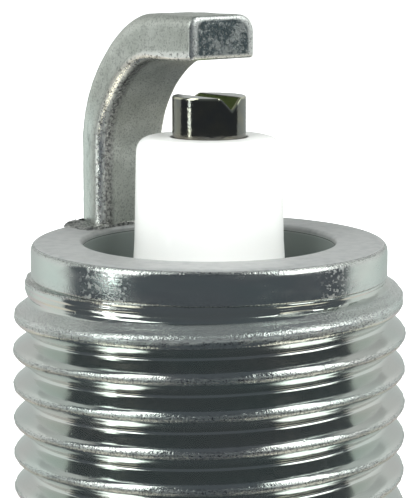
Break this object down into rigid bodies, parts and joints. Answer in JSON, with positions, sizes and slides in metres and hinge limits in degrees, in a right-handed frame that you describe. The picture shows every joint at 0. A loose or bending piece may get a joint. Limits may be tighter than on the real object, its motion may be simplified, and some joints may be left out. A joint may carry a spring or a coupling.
{
  "type": "spark plug",
  "caption": "Long-reach spark plug: rolled screw thread, loose ring gasket, hexagon, ribbed ceramic insulator, screw-on terminal and a bent ground electrode over a grooved tip.",
  "frame": {"origin": "on the plug's axis, in the plane of the shell's gasket seat, where the cylinder head holds the plug", "axes": "+Z along the plug's axis towards the firing end; +X the way the ground electrode's arm points; two flats of the hexagon face +Y and -Y"},
  "size_m": [0.024, 0.0208, 0.08],
  "materials": {
    "plated_shell": "zinc plated and passivated, rolled thread",
    "electrode_nickel": "drawn nickel alloy, satin",
    "polished_nickel": "smooth nickel alloy",
    "alumina": "white alumina, glazed on the barrel",
    "gasket_steel": "plated sheet steel",
    "terminal_steel": "nickel plated, turned",
    "copper": "copper",
    "seal_glass": "copper-filled glass",
    "resistor_carbon": "carbon and glass",
    "packing_steel": "plain steel",
    "talc": "pressed powder"
  },
  "bodies": {
    "plug": {"metal_shell": "plated_shell", "ground_electrode": "electrode_nickel", "insulator": "alumina", "center_electrode": "polished_nickel", "center_electrode_core": "copper", "lower_glass_seal": "seal_glass", "resistor": "resistor_carbon", "upper_glass_seal": "seal_glass", "terminal_stud": "terminal_steel", "seat_packing_washer": "packing_steel", "lower_packing_ring": "packing_steel", "talc_packing": "talc", "upper_packing_ring": "packing_steel"},
    "gasket": {"gasket": "gasket_steel"},
    "terminal_nut": {"terminal_nut": "terminal_steel"}
  },
  "joints": [
    {"name": "gasket_float", "type": "slide", "parent": "plug", "child": "gasket", "axis": [0, 0, 1], "range_m": [0, 0.0008]},
    {"name": "terminal_nut_removal", "type": "slide", "parent": "plug", "child": "terminal_nut", "axis": [0, 0, -1], "range_m": [0, 0.009]}
  ]
}
